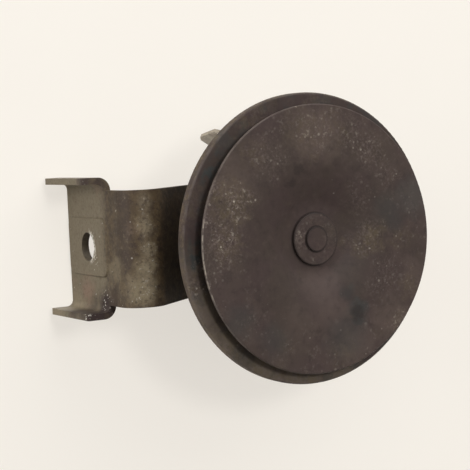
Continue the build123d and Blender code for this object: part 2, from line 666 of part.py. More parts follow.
# ---------------------------------------------------------------- fixing of the bracket's foot
with BuildPart() as lock_washer:
    with BuildSketch(at_depth(FOOT_BACK_D)):
        Circle(LOCK_WASHER_R)
        Circle(STUD_HOLE_R, mode=Mode.SUBTRACT)
        with Locations((0, LOCK_WASHER_R)):
            Rectangle(LOCK_WASHER_SLIT, 2 * LOCK_WASHER_R, rotation=15, mode=Mode.SUBTRACT)
    extrude(amount=LOCK_WASHER_T)
finish(lock_washer, "lock_washer")

with BuildPart() as mounting_nut:
    with BuildSketch(at_depth(LOCK_WASHER_BACK_D)):
        RegularPolygon(NUT8_FLATS / 2, 6, major_radius=False)
        Circle(STUD_R, mode=Mode.SUBTRACT)
    extrude(amount=NUT8_T)
    # both faces are turned to a cone, which takes the hexagon's corners off
    with BuildSketch(PROFILE) as turned:
        with Locations((NUT8_CORNER_R / 2, LOCK_WASHER_BACK_D + NUT8_T / 2)):
            Rectangle(NUT8_CORNER_R, NUT8_T)
        chamfer(turned.vertices().group_by(Axis.X)[-1], NUT8_TURNED / 2, NUT8_TURNED)
    revolve(axis=HORN_AXIS, mode=Mode.INTERSECT)
finish(mounting_nut, "mounting_nut")
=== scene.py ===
import math

import bmesh
import bpy
from mathutils import Matrix, Quaternion, Vector


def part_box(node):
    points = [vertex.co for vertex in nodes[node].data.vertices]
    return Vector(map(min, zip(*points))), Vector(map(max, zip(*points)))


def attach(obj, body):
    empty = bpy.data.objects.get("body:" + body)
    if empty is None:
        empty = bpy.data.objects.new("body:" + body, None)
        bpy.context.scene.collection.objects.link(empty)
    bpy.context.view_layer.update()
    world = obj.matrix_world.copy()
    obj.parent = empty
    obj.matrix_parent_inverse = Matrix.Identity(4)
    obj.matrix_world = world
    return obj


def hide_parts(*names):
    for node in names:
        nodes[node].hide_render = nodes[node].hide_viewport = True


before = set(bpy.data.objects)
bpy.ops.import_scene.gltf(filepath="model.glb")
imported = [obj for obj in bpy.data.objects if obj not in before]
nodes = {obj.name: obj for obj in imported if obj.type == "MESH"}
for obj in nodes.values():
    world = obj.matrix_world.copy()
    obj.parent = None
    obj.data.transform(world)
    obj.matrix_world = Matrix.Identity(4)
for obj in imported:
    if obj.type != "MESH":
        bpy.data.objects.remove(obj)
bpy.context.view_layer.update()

# The row frame: the horn faces -Y, its bracket's bolt plate faces -X, and +Z is up.
MM = 0.001


def span(node, axis):
    """Lowest and highest place of a CAD node along one axis."""
    low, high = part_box(node)
    return low[axis], high[axis]


def middle(node):
    """Centre of a CAD node's box."""
    low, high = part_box(node)
    return (low + high) / 2


def radius_of(node):
    """Radius of a round node that lies along Y."""
    left, right = span(node, 0)
    return (right - left) / 2


AXIS = Vector((middle("clamp_ring").x, 0, 0))
RING_FRONT = span("clamp_ring", 1)[0]
RING_R = radius_of("clamp_ring")
DISC_FRONT = span("tone_disc", 1)[0]
DISC_R = radius_of("tone_disc")
WASHER_R = radius_of("tone_disc_washer")
HEAD_R = 3.8 * MM       # riveted end of the armature's shank, inside the washer
HOLE_R = 4.5 * MM       # bolt hole


# ---------------------------------------------------------------- camera
CAMERA_PLACE = Vector((-0.19472, -0.41936, 0.03237))
CAMERA_AIM = Vector((0.03969, -0.02477, 0.00159))
CAMERA_ROLL = math.radians(2.68)
CAMERA_LENS = 111.4
CAMERA_SENSOR = 36.0


def add_camera():
    camera = bpy.data.objects.new("camera", bpy.data.cameras.new("camera"))
    bpy.context.scene.collection.objects.link(camera)
    camera.data.lens = CAMERA_LENS
    camera.data.sensor_width = CAMERA_SENSOR
    camera.data.clip_start = 0.01
    camera.data.clip_end = 20
    camera.location = CAMERA_PLACE
    camera.rotation_mode = "QUATERNION"
    level = (CAMERA_AIM - CAMERA_PLACE).to_track_quat("-Z", "Y")
    camera.rotation_quaternion = level @ Quaternion((0, 0, 1), -CAMERA_ROLL)
    bpy.context.scene.camera = camera


# ---------------------------------------------------------------- patterns
def srgb(red, green, blue):
    """Linear colour of an 8-bit one."""

    def linear(value):
        share = value / 255
        return share / 12.92 if share <= 0.04045 else ((share + 0.055) / 1.055) ** 2.4

    return (linear(red), linear(green), linear(blue), 1.0)


class Finish:
    """A procedural material in the making. Its patterns are laid out in millimetres of the row frame."""

    # Specks are laid out along two slanted directions, so that faces along every axis cut across them.
    SLANT = (1.0, 0.7, 0.0), (0.0, -0.7, 1.0)

    def __init__(self, name, roughness, metallic=0.0, specular=0.5, slant=SLANT):
        self.slant = slant
        self.material = bpy.data.materials.new(name)
        self.material.use_nodes = True
        self.tree = self.material.node_tree
        self.surface = self.tree.nodes["Principled BSDF"]
        self.surface.inputs["Roughness"].default_value = roughness
        self.surface.inputs["Metallic"].default_value = metallic
        self.surface.inputs["Specular IOR Level"].default_value = specular
        in_metres = self.add("ShaderNodeTexCoord").outputs["Object"]
        self.place = self.vector("SCALE", in_metres, 1 / MM)

    def add(self, kind, **settings):
        node = self.tree.nodes.new(kind)
        for key, value in settings.items():
            setattr(node, key, value)
        return node

    def feed(self, socket, value):
        """Link a socket to an output, or set it to a plain value."""
        if isinstance(value, bpy.types.NodeSocket):
            self.tree.links.new(value, socket)
        else:
            socket.default_value = value

    def math(self, operation, first, second=0.0, clamp=False):
        node = self.add("ShaderNodeMath", operation=operation, use_clamp=clamp)
        self.feed(node.inputs[0], first)
        self.feed(node.inputs[1], second)
        return node.outputs[0]

    def vector(self, operation, first, second=(0, 0, 0)):
        node = self.add("ShaderNodeVectorMath", operation=operation)
        self.feed(node.inputs[0], first)
        self.feed(node.inputs["Scale" if operation == "SCALE" else 1], second)
        return node.outputs["Value" if operation in ("LENGTH", "DOT_PRODUCT") else "Vector"]

    def times(self, *shares):
        product = shares[0]
        for share in shares[1:]:
            product = self.math("MULTIPLY", product, share)
        return product

    def either(self, *shares):
        highest = shares[0]
        for share in shares[1:]:
            highest = self.math("MAXIMUM", highest, share)
        return highest

    def step(self, value, start, end):
        """0 up to start and 1 from end, smooth in between. start may be above end."""
        node = self.add("ShaderNodeMapRange", interpolation_type="SMOOTHSTEP", clamp=True)
        self.feed(node.inputs["Value"], value)
        node.inputs["From Min"].default_value = min(start, end)
        node.inputs["From Max"].default_value = max(start, end)
        node.inputs["To Min"].default_value = 0.0 if start < end else 1.0
        node.inputs["To Max"].default_value = 1.0 if start < end else 0.0
        return node.outputs["Result"]

    def within(self, value, start, end, fade):
        """1 between start and end, fading out over fade on each side."""
        return self.times(self.step(value, start - fade, start), self.step(value, end + fade, end))

    def noise(self, size, detail=3.0, rough=0.5, twist=0.0, stretch=None, wanted="Fac"):
        """Cloudy pattern with features of about size millimetres, around 0.5."""
        node = self.add("ShaderNodeTexNoise")
        place = self.vector("MULTIPLY", self.place, stretch) if stretch else self.place
        self.feed(node.inputs["Vector"], place)
        node.inputs["Scale"].default_value = 1 / size
        node.inputs["Detail"].default_value = detail
        node.inputs["Roughness"].default_value = rough
        node.inputs["Distortion"].default_value = twist
        return node.outputs[wanted]

    def clouds(self, size, start, end, detail=4.0, rough=0.55, stretch=None):
        return self.step(self.noise(size, detail, rough, stretch=stretch), start, end)

    def dots(self, pitch, radius, share=1.0, soft=0.35):
        """Specks of up to radius, one in each cell of that pitch, in a share of the cells."""
        slanted = self.add("ShaderNodeCombineXYZ")
        for socket, direction in zip(slanted.inputs, self.slant):
            self.feed(socket, self.vector("DOT_PRODUCT", self.place, direction))
        node = self.add("ShaderNodeTexVoronoi", feature="F1", voronoi_dimensions="2D")
        self.feed(node.inputs["Vector"], slanted.outputs["Vector"])
        node.inputs["Scale"].default_value = 1 / pitch
        chance = self.add("ShaderNodeSeparateColor")
        self.tree.links.new(node.outputs["Color"], chance.inputs["Color"])
        size = self.math("MULTIPLY", chance.outputs["Green"], radius / pitch)
        nearness = self.math("SUBTRACT", size, node.outputs["Distance"])
        spot = self.step(nearness, 0.0, radius / pitch * soft)
        return self.times(spot, self.step(chance.outputs["Red"], 1.001 - share, 1.0 - share * 0.7))

    def distance(self, centre, squash=(1, 1, 1), place=None):
        """Millimetres from a point, after each axis is scaled by squash."""
        moved = self.vector("SUBTRACT", place or self.place, centre)
        return self.vector("LENGTH", self.vector("MULTIPLY", moved, squash))

    def from_axis(self):
        """Millimetres from the horn's axis."""
        return self.distance((AXIS.x / MM, 0, 0), (1, 0, 1))

    def patches(self, spots, ragged=3.0, size=5.0):
        """Soft patches, each given as centre, radius and share. Their borders wander by about ragged."""
        wander = self.vector("SUBTRACT", self.noise(size, 4, wanted="Color"), (0.5, 0.5, 0.5))
        place = self.vector("ADD", self.place, self.vector("SCALE", wander, 4 * ragged))
        shares = []
        for centre, radius, share in spots:
            reach = self.distance(centre, place=place)
            shares.append(self.times(self.step(reach, radius * 1.25, radius * 0.3), share))
        return self.either(*shares)

    def axis(self, index):
        """Millimetres along one axis."""
        node = self.add("ShaderNodeSeparateXYZ")
        self.tree.links.new(self.place, node.inputs[0])
        return node.outputs[index]

    def mix(self, share, first, second):
        node = self.add("ShaderNodeMix", data_type="RGBA")
        factor, colours = node.inputs[0], node.inputs[6:8]
        self.feed(factor, share)
        self.feed(colours[0], first)
        self.feed(colours[1], second)
        return node.outputs[2]

    def grade(self, value, low, high):
        """A number that runs from low to high as value runs from 0 to 1."""
        node = self.add("ShaderNodeMapRange", clamp=True)
        self.feed(node.inputs["Value"], value)
        node.inputs["To Min"].default_value = low
        node.inputs["To Max"].default_value = high
        return node.outputs["Result"]

    def edge(self, radius):
        """1 on sharp edges and 0 on flat stretches, within radius millimetres."""
        bevel = self.add("ShaderNodeBevel", samples=6)
        bevel.inputs["Radius"].default_value = radius * MM
        plain = self.add("ShaderNodeNewGeometry")
        both = self.vector("DOT_PRODUCT", bevel.outputs["Normal"], plain.outputs["Normal"])
        return self.step(both, 0.995, 0.93)

    def finish(self, colour, roughness=None, metallic=None, height=None, depth=0.1, strength=0.5):
        """Join the patterns to the surface. Height is a pattern from 0 to 1, depth its millimetres."""
        self.feed(self.surface.inputs["Base Color"], colour)
        if roughness is not None:
            self.feed(self.surface.inputs["Roughness"], roughness)
        if metallic is not None:
            self.feed(self.surface.inputs["Metallic"], metallic)
        if height is not None:
            bump = self.add("ShaderNodeBump")
            bump.inputs["Strength"].default_value = strength
            bump.inputs["Distance"].default_value = depth * MM
            self.tree.links.new(height, bump.inputs["Height"])
            self.tree.links.new(bump.outputs["Normal"], self.surface.inputs["Normal"])
        return self.material


# ---------------------------------------------------------------- paint
PAINT_BROWN = srgb(64, 54, 49)
PAINT_PURPLE = srgb(65, 53, 51)
PAINT_BLUE = srgb(56, 58, 57)
PAINT_DARK = srgb(42, 35, 33)
# Pale paint of rubbing, also used as painted sheen on the disc's dished centre.
RUBBED_AND_SHEEN = srgb(90, 77, 71)
# Painted light: pale paint that lifts the shadow the disc casts on the ring.
RING_PAINTED_LIGHT = srgb(118, 106, 95)
DUST_OLIVE = srgb(100, 88, 66)
DUST_PALE = srgb(124, 111, 103)
FLECK = srgb(178, 168, 154)
# Pale paint of edge wear, also used as a painted highlight along the disc's rim.
WORN_EDGE_AND_HIGHLIGHT = srgb(98, 89, 84)
BARE_IRON = srgb(96, 88, 84)


def old_paint(name, dusty, bluish, flecked, wear_and_highlight, chipped=None, rubbed_and_painted_light=None, rubbed_and_painted_light_colour=RUBBED_AND_SHEEN,
              grime_and_painted_shade=None, bare=None):
    """Thin brown-black paint. Each share is a function of the paint and says where that mark is."""
    paint = Finish(name, roughness=0.5, specular=0.2)
    dusty, bluish, flecked, wear_and_highlight = (share(paint) for share in (dusty, bluish, flecked, wear_and_highlight))
    fine = paint.noise(0.8, 4, 0.6)
    mottle = paint.noise(2.6, 5, 0.62)
    colour = paint.mix(paint.clouds(16, 0.36, 0.64), PAINT_BROWN, PAINT_PURPLE)
    # Rubbing, and painted light: paler paint for sheen on the disc and against the disc's shadow on the
    # ring.
    if rubbed_and_painted_light:
        colour = paint.mix(rubbed_and_painted_light(paint), colour, rubbed_and_painted_light_colour)
    colour = paint.mix(paint.times(paint.step(mottle, 0.5, 0.72), 0.35), colour, PAINT_DARK)
    colour = paint.mix(paint.times(paint.step(mottle, 0.48, 0.3), 0.2), colour, RUBBED_AND_SHEEN)
    colour = paint.mix(bluish, colour, PAINT_BLUE)
    film = paint.times(dusty, paint.clouds(2.2, 0.36, 0.66, rough=0.7))
    colour = paint.mix(paint.times(film, 0.6), colour, DUST_OLIVE)
    hazy = paint.either(paint.times(flecked, 0.6), paint.times(dusty, 0.3))
    colour = paint.mix(paint.times(paint.step(fine, 0.46, 0.66), hazy), colour, DUST_PALE)
    curls = paint.within(paint.noise(1.7, 2, 0.5), 0.495, 0.505, 0.03)
    curls = paint.times(curls, paint.clouds(2.4, 0.48, 0.6), paint.grade(flecked, 0.0, 0.5))
    colour = paint.mix(curls, colour, DUST_PALE)
    blotches = paint.times(paint.dots(2.2, 1.0, 0.7, soft=0.9), paint.grade(flecked, 0.02, 0.6))
    colour = paint.mix(blotches, colour, DUST_PALE)
    colour = paint.mix(paint.times(paint.dots(2.6, 0.4, 0.5), 0.2), colour, PAINT_DARK)
    specks = paint.either(
        paint.times(paint.clouds(1.5, 0.58, 0.7, 3, 0.6), flecked, 0.55),
        paint.times(paint.dots(2.6, 0.6, 0.4, soft=0.6), flecked),
        paint.times(paint.dots(7.0, 0.5, 0.4, soft=0.8), 0.35),
    )
    colour = paint.mix(specks, colour, FLECK)
    # Edge wear, and a painted highlight along the disc's left rim.
    colour = paint.mix(wear_and_highlight, colour, WORN_EDGE_AND_HIGHLIGHT)
    if chipped:
        colour = paint.mix(chipped(paint), colour, FLECK)
    # Grime, and painted shade in the joints round the washer and the head.
    if grime_and_painted_shade:
        colour = paint.mix(grime_and_painted_shade(paint), colour, PAINT_DARK)
    metallic = None
    if bare:
        metallic = paint.times(bare(paint), 0.6)
        colour = paint.mix(bare(paint), colour, BARE_IRON)
    roughness = paint.grade(paint.math("ADD", paint.times(fine, 0.8), paint.times(dusty, 0.5)), 0.42, 0.75)
    height = paint.math("ADD", paint.times(fine, 0.6), paint.times(specks, 0.4))
    return paint.finish(colour, roughness, metallic, height, depth=0.05, strength=0.45)


def disc_spots(*spots):
    """Places on the tone disc: right of its centre, above it, reach in millimetres, and share."""
    return [((AXIS.x / MM + right, DISC_FRONT / MM, up), reach, share) for right, up, reach, share in spots]


def ring_spots(*spots):
    """Places on the clamp ring's face, as on the disc."""
    return [((AXIS.x / MM + right, RING_FRONT / MM, up), reach, share) for right, up, reach, share in spots]


def disc_paint():
    def dusty(paint):
        left = (-31.5, 13.0, 8.5, 0.9), (-33.0, 1.5, 7.0, 0.7), (-23.5, 27.5, 6.0, 0.4)
        top = [(-5.0, 33.5, 8.0, 0.45), (6.0, 34.0, 8.0, 0.35),
               (20.0, 28.0, 7.0, 0.15), (-2.0, 27.0, 5.0, 0.35)]
        right = [(13.0, -2.5, 5.0, 0.6), (19.5, -1.5, 5.5, 0.8),
                 (30.5, -1.0, 5.0, 0.5), (33.5, -17.0, 4.5, 0.7)]
        low = (7.0, -37.0, 6.0, 0.4), (29.0, -29.5, 5.0, 0.4)
        return paint.either(
            paint.patches(disc_spots(*left, *top, *right, *low)),
            paint.times(paint.clouds(7, 0.55, 0.8), 0.35),
        )

    def bluish(paint):
        # Painted reflection: the bluish patches on the disc's right part.
        right = (36.0, 11.0, 8.0, 0.5), (27.0, 7.0, 7.0, 0.4)
        dent = (12.7, -23.6, 4.5, 0.9), (10.0, -17.5, 3.0, 0.5)
        low = (8.0, -31.0, 9.0, 0.4), (-18.0, -29.0, 6.0, 0.35), (-30.0, -22.5, 6.0, 0.35)
        return paint.patches(disc_spots(*right, *dent, *low), ragged=2.0)

    def flecked(paint):
        left = [(-36.5, 17.0, 4.5, 0.9), (-29.0, 13.3, 6.0, 1.0),
                (-40.5, 8.0, 3.0, 0.8), (-34.0, 1.5, 7.5, 0.8)]
        top = [(-18.0, 26.0, 8.0, 0.35), (0.0, 33.5, 9.0, 0.4),
               (13.0, 32.0, 7.0, 0.35), (20.0, 27.0, 7.0, 0.45)]
        right = [(26.5, 19.6, 5.0, 0.4), (15.5, 11.7, 6.0, 0.25),
                 (18.0, -1.0, 7.0, 0.5), (33.5, -16.5, 3.0, 0.7)]
        low = [(29.0, -29.0, 6.0, 0.5), (-26.5, -23.0, 6.0, 0.15),
               (4.0, -37.5, 5.0, 0.2), (24.0, -14.0, 8.0, 0.3)]
        edge = [(-41.2, 1.0, 2.0, 1.0), (-41.0, -5.0, 2.2, 1.0),
                (-39.8, -11.0, 2.0, 1.0), (-40.5, 13.0, 1.5, 0.7)]
        border = paint.times(paint.step(paint.from_axis(), 22, 32), paint.clouds(6, 0.42, 0.7), 0.22)
        return paint.either(border, paint.patches(disc_spots(*left, *top, *right, *low, *edge), ragged=3.5))

    def wear_and_highlight(paint):
        # Painted highlight with wear: a pale line along the disc's rim, fading out towards the right.
        rim = paint.step(paint.from_axis(), DISC_R / MM - 0.4, DISC_R / MM - 0.1)
        towards_left = paint.step(paint.axis(0), AXIS.x / MM + 14, AXIS.x / MM - 34)
        return paint.times(rim, paint.clouds(5.0, 0.3, 0.6), towards_left, 0.7)

    def chipped(paint):
        rim = paint.step(paint.from_axis(), DISC_R / MM - 0.3, DISC_R / MM - 0.15)
        front = paint.step(paint.axis(1), DISC_FRONT / MM + 0.55, DISC_FRONT / MM + 0.25)
        left = (-41.3, 4.0, 5.0, 0.6), (-41.0, -5.0, 5.0, 0.7), (-39.5, -12.0, 5.0, 0.6)
        broken = paint.times(paint.patches(disc_spots(*left), ragged=0.5), paint.clouds(2.0, 0.42, 0.58))
        return paint.times(rim, front, broken)

    def rubbed_and_painted_light(paint):
        border = paint.times(paint.step(paint.from_axis(), 24, 33), paint.clouds(9, 0.3, 0.6), 0.2)
        spots = [(12.0, -34.0, 9.0, 0.7), (26.0, -27.0, 9.0, 0.7),
                 (36.0, -14.0, 8.0, 0.5), (0.0, 33.0, 11.0, 0.7)]
        # Painted sheen: paler paint on the lower slope of the dished centre, where it faces the light.
        painted_sheen_on_dish = (1.0, -14.0, 8.0, 0.45), (4.0, -24.0, 10.0, 0.45), (-9.0, -27.0, 9.0, 0.35)
        sides = (-31.0, 19.0, 8.0, 0.6), (37.0, 11.0, 7.0, 0.8)
        return paint.either(border, paint.patches(disc_spots(*spots, *painted_sheen_on_dish, *sides)))

    def grime_and_painted_shade(paint):
        # Painted shade: a dark ring on the disc round the washer's edge.
        round_washer = paint.within(paint.from_axis(), WASHER_R / MM - 0.2, WASHER_R / MM + 0.15, 0.35)
        smudge = disc_spots((9.5, -17.5, 3.2, 0.5), (12.7, -23.6, 3.4, 0.7))
        scuffs = disc_spots((-9.0, 17.5, 2.2, 0.6), (-6.5, 22.0, 2.0, 0.5))
        return paint.either(
            paint.times(round_washer, 0.75),
            paint.patches(smudge, ragged=1.5, size=3),
            paint.patches(scuffs, ragged=1.5, size=2),
        )

    return old_paint("disc_paint", dusty, bluish, flecked, wear_and_highlight, chipped, rubbed_and_painted_light, grime_and_painted_shade=grime_and_painted_shade)


def ring_paint():
    def dusty(paint):
        left = (-42.0, -14.0, 9.0, 0.6), (-32.0, -31.0, 10.0, 0.9), (-41.0, 12.0, 7.0, 0.4)
        low = (-19.0, -40.0, 10.0, 0.9), (-4.0, -43.5, 9.0, 0.8), (10.0, -43.0, 8.0, 0.6)
        top = (-19.8, 38.9, 7.0, 0.5), (4.0, 43.0, 7.0, 0.35)
        side = paint.step(paint.from_axis(), RING_R / MM - 0.5, RING_R / MM - 0.1)
        streaks = paint.times(side, paint.clouds(2.6, 0.32, 0.56, stretch=(1, 0.35, 1)))
        return paint.either(
            paint.patches(ring_spots(*left, *low, *top)),
            streaks,
            paint.times(paint.clouds(9, 0.5, 0.7), 0.3),
        )

    def bluish(paint):
        inside = paint.step(paint.from_axis(), RING_R / MM - 0.9, RING_R / MM - 2.4)
        left = paint.patches(ring_spots((-35.5, 26.0, 9.0, 1.0), (-41.0, -2.5, 7.0, 1.0)), ragged=2.5)
        broken = paint.times(left, inside, paint.clouds(3, 0.38, 0.6))
        return paint.either(broken, paint.times(paint.clouds(6, 0.48, 0.6), 0.4))

    def flecked(paint):
        spots = (-41.6, -12.0, 3.5, 0.7), (-40.3, -5.6, 2.5, 0.5), (-30.0, -30.0, 5.0, 0.3)
        return paint.patches(ring_spots(*spots), ragged=1.5)

    def wear_and_highlight(paint):
        edge = paint.step(paint.from_axis(), RING_R / MM - 0.75, RING_R / MM - 0.35)
        front = paint.step(paint.axis(1), RING_FRONT / MM + 0.75, RING_FRONT / MM + 0.35)
        return paint.times(edge, front, paint.clouds(4.0, 0.35, 0.65), 0.5)

    def rubbed_and_painted_light(paint):
        # Painted light: pale paint on the lower left and bottom of the ring, where the disc's shadow falls.
        left = (-44.0, -7.0, 7.0, 0.3), (-40.0, -19.0, 9.0, 0.6), (-32.0, -30.0, 10.0, 0.8)
        low = (-20.0, -39.0, 10.0, 0.9), (-6.0, -43.0, 10.0, 0.8), (8.0, -43.0, 9.0, 0.6)
        return paint.patches(ring_spots(*left, *low))

    return old_paint("ring_paint", dusty, bluish, flecked, wear_and_highlight, rubbed_and_painted_light=rubbed_and_painted_light, rubbed_and_painted_light_colour=RING_PAINTED_LIGHT)


def housing_paint():
    return old_paint(
        "housing_paint",
        dusty=lambda paint: paint.times(paint.clouds(10, 0.45, 0.7), 0.7),
        bluish=lambda paint: paint.times(paint.clouds(18, 0.5, 0.7), 0.5),
        flecked=lambda paint: paint.times(paint.clouds(12, 0.52, 0.68), 0.5),
        wear_and_highlight=lambda paint: paint.times(paint.edge(0.6), paint.clouds(3, 0.4, 0.65), 0.6),
    )


def washer_paint():
    spots = disc_spots((-5.5, 0.5, 4.5, 0.8), (-1.5, -5.5, 3.0, 0.8))
    return old_paint(
        "washer_paint",
        dusty=lambda paint: paint.times(paint.clouds(4, 0.45, 0.7), 0.25),
        bluish=lambda paint: paint.times(paint.clouds(12, 0.5, 0.7), 0.2),
        flecked=lambda paint: paint.either(paint.patches(spots, ragged=1.0, size=3), 0.12),
        wear_and_highlight=lambda paint: paint.times(paint.edge(0.25), paint.clouds(2, 0.4, 0.65), 0.25),
        # Painted shade: dark rings round the head and along the washer's outer edge.
        grime_and_painted_shade=lambda paint: paint.either(
            paint.times(paint.within(paint.from_axis(), HEAD_R / MM - 0.1, HEAD_R / MM + 0.3, 0.3), 0.9),
            paint.times(paint.step(paint.from_axis(), WASHER_R / MM - 0.6, WASHER_R / MM - 0.25), 0.7),
        ),
    )


def painted_in_front(name):
    """Paint as far as the spray reached through the ring's mouth, and oxidised iron behind it."""
    return old_paint(
        name,
        dusty=lambda paint: paint.times(paint.clouds(4, 0.45, 0.7), 0.4),
        bluish=lambda paint: paint.times(paint.clouds(12, 0.5, 0.7), 0.3),
        flecked=lambda paint: paint.times(paint.clouds(5, 0.5, 0.7), 0.4),
        wear_and_highlight=lambda paint: paint.times(paint.edge(0.2), paint.clouds(2, 0.4, 0.65), 0.3),
        # Painted shade: a dark ring round the head.
        grime_and_painted_shade=lambda paint: paint.times(
            paint.within(paint.from_axis(), HEAD_R / MM - 0.2, HEAD_R / MM + 1.0, 0.3), 0.8
        ),
        bare=lambda paint: paint.step(paint.axis(1), RING_FRONT / MM + 1.1, RING_FRONT / MM + 1.3),
    )


# ---------------------------------------------------------------- bare metal
STEEL_PLATE = srgb(114, 104, 86)
STEEL_STRAP = srgb(84, 70, 51)
STEEL_BROWN = srgb(60, 48, 38)
STEEL_PALE = srgb(126, 114, 92)
STEEL_RUST = srgb(124, 103, 87)
STEEL_DARK = srgb(46, 38, 33)
STEEL_PURPLE = srgb(55, 43, 41)
STEEL_SHADED = srgb(38, 36, 36)
STEEL_RUBBED = srgb(142, 130, 108)
STEEL_BRIGHT = srgb(205, 200, 190)

# Specks on the strap are laid out along it.
ALONG_STRAP = (0.7, -0.7, 0.0), (0.4, 0.4, 1.0)

# Marks on the bracket, each as its centre, its reach in millimetres and its share
HANDLED = [((1.0, -23.0, up), 5.5, 1.0) for up in (-2, 6, 14)]
LOWER_STRAP = [
    ((0.5, -17.5, -7.0), 5.5, 0.5),
    ((1.5, -24.0, -13.0), 6.0, 0.2),
    ((4.5, -27.5, -9.0), 5.0, 0.5),
]
CREST_BAND = [
    ((6.6, -28.3, 14.0), 3.4, 0.6),
    ((6.6, -28.3, 7.0), 3.6, 0.8),
    ((7.4, -28.4, 0.0), 3.0, 0.9),
    ((6.4, -28.2, -5.5), 4.2, 1.0),
    ((5.0, -27.8, -13.0), 5.0, 1.0),
]
RUST = [
    ((0, 2.4, -14.5), 5.5, 1.0),
    ((-1, -9.0, 18.5), 3.5, 0.6),
    ((0, 12.0, -12.0), 3.0, 0.4),
    ((3.0, -26.6, 6.0), 3.5, 0.2),
]
LOWER_EAR_RUBBED = [((-3.6, 10.0, -19.3), 6.5, 0.9)]
LOWER_FOLD_GRIME = [
    ((0, -10.5, -17.5), 5.5, 1.0),
    ((-4.0, -13.0, -21.0), 5.0, 1.0),
    ((-4.0, -2.5, -19.3), 5.5, 0.7),
    ((-4.5, -8.0, -19.3), 5.0, 0.8),
    ((1.5, -17.0, -15.5), 4.0, 0.6),
]
UPPER_EAR_STAIN = [((-6.0, -13.0, 21.5), 3.5, 0.8), ((-1.0, -13.0, 20.0), 3.0, 0.7)]
CHIPPED = [
    ((-7.5, -13.0, -20.5), 2.8, 1.0),
    ((0.0, -11.0, -16.0), 4.0, 0.8),
    ((0.0, -4.8, -4.4), 1.8, 0.9),
    ((0.0, -0.7, 5.4), 1.2, 0.8),
    ((-7.2, -14.0, 21.0), 2.0, 0.7),
]


def steel_ground(steel, grain, plate):
    """The olive plate, and the brown strap, darker where it was handled, with painted shade towards the
    horn where the ring shades the strap.
    """
    strap = steel.mix(steel.step(grain, 0.4, 0.65), STEEL_STRAP, STEEL_BROWN)
    strap = steel.mix(steel.patches(HANDLED, ragged=1.5), strap, STEEL_BROWN)
    plain = steel.mix(steel.times(steel.step(grain, 0.45, 0.7), 0.25), STEEL_PLATE, STEEL_STRAP)
    # Painted shade: the strap's leg behind the ring is darkened and cooled, where the ring shades it.
    painted_shade_towards_horn = steel.times(steel.step(steel.axis(0), 11.5, 15.0), 0.45)
    return steel.mix(painted_shade_towards_horn, steel.mix(plate, strap, plain), STEEL_SHADED)


def steel_wear(steel, colour, fine, band):
    """Pale rubbed places and rust, and a fine mottle over all."""
    colour = steel.mix(steel.patches(LOWER_STRAP), colour, STEEL_PALE)
    mist = steel.times(band, steel.clouds(1.6, 0.28, 0.58, rough=0.7), 0.9)
    colour = steel.mix(mist, colour, STEEL_PALE)
    rusty = steel.times(steel.patches(RUST, ragged=1.6), steel.clouds(2.2, 0.25, 0.55))
    colour = steel.mix(rusty, colour, STEEL_RUST)
    colour = steel.mix(steel.patches(LOWER_EAR_RUBBED, ragged=1.5), colour, STEEL_RUBBED)
    colour = steel.mix(steel.times(steel.step(fine, 0.5, 0.7), 0.4), colour, STEEL_DARK)
    return steel.mix(steel.times(steel.step(fine, 0.45, 0.3), 0.3), colour, STEEL_PALE)


def from_bolt(steel):
    """Millimetres from the bolt hole's axis."""
    return steel.distance((0, 0, 0), (0, 1, 1))


def steel_dirt(steel, colour, grain, plate, grime):
    """Purple grime in the folds, dark pits, and a dark bore in the bolt hole."""
    colour = steel.mix(grime, colour, STEEL_PURPLE)
    colour = steel.mix(steel.patches(UPPER_EAR_STAIN, ragged=1.5), colour, STEEL_PURPLE)
    pits = steel.times(steel.dots(1.7, 0.42, 0.8), steel.grade(plate, 0.5, 0.12))
    colour = steel.mix(pits, colour, STEEL_DARK)
    in_hole = steel.step(from_bolt(steel), HOLE_R / MM + 0.12, HOLE_R / MM + 0.02)
    bore = steel.times(in_hole, steel.step(steel.axis(0), 4.0, 3.0), steel.grade(grain, 0.9, 0.1))
    return steel.mix(bore, colour, STEEL_DARK)


def bright_steel(steel, outside, band):
    """Bare metal: scraped in front of the bolt hole, and in chips and specks."""
    round_hole = steel.step(from_bolt(steel), HOLE_R / MM + 1.7, HOLE_R / MM + 0.5)
    ahead = steel.step(steel.axis(1), -0.5, -3.0)
    scraped = steel.times(round_hole, outside, ahead, steel.clouds(1.0, 0.4, 0.58, rough=0.7))
    chips = steel.times(steel.dots(0.9, 0.42), steel.patches(CHIPPED, ragged=1.0))
    frosted = steel.times(steel.clouds(1.1, 0.58, 0.72, 3, 0.65), steel.grade(band, 0.04, 0.45))
    specks = steel.times(steel.dots(4.0, 0.4, 0.5, soft=0.6), 0.4)
    return steel.either(scraped, chips, frosted, specks)


def bracket_steel():
    """Oxidised sheet steel: an olive bolt plate, a browner strap, and bright metal where a bolt sat."""
    steel = Finish("bracket_steel", roughness=0.5, metallic=0.15, specular=0.3, slant=ALONG_STRAP)
    fine = steel.noise(0.9, 4, 0.7)
    grain = steel.noise(2.6, 5, 0.62)
    outside = steel.step(steel.axis(0), 3.0, 0.8)
    plate = steel.times(steel.step(steel.axis(1), -15.0, -9.0), outside)
    band = steel.patches(CREST_BAND, ragged=1.2)
    grime = steel.times(steel.patches(LOWER_FOLD_GRIME, ragged=1.4), steel.grade(fine, 1.35, 0.8))
    colour = steel_ground(steel, grain, plate)
    colour = steel_wear(steel, colour, fine, band)
    colour = steel_dirt(steel, colour, grain, plate, grime)
    colour = steel.mix(bright_steel(steel, outside, band), colour, STEEL_BRIGHT)
    roughness = steel.grade(steel.math("ADD", steel.times(fine, 0.8), steel.times(grime, 0.4)), 0.42, 0.75)
    return steel.finish(colour, roughness=roughness, height=fine, depth=0.05, strength=0.45)


